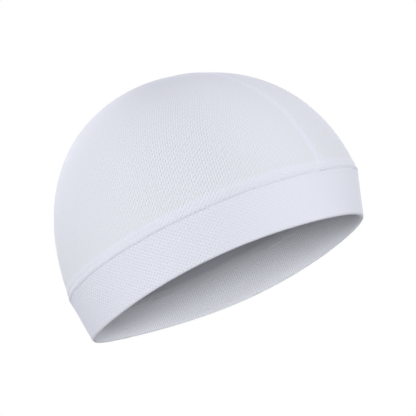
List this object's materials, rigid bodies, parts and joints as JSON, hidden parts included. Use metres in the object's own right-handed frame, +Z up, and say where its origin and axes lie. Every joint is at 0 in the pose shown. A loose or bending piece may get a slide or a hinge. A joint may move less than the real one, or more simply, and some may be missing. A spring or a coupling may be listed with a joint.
{
  "type": "cycling skull cap",
  "caption": "Thin white mesh skull cap with a close rounded crown, a seam over the middle of the head and a doubled band, in the shape it has when worn.",
  "frame": {"origin": "middle of the head opening, in the plane of the band's folded lower edge", "axes": "+Z up through the top of the crown, -Y towards the wearer's front, +X towards the wearer's left"},
  "size_m": [0.1638, 0.1962, 0.1269],
  "materials": {
    "mesh_cloth": "fine white warp-knitted mesh, matt with a faint sheen",
    "overlocked_edge": "cloth edge bound with white overlock thread"
  },
  "bodies": {
    "root": {"crown_panel_left": "mesh_cloth", "crown_panel_right": "mesh_cloth", "centre_seam_allowance": "overlocked_edge", "head_band": "mesh_cloth", "band_seam_allowance": "overlocked_edge"}
  },
  "joints": []
}
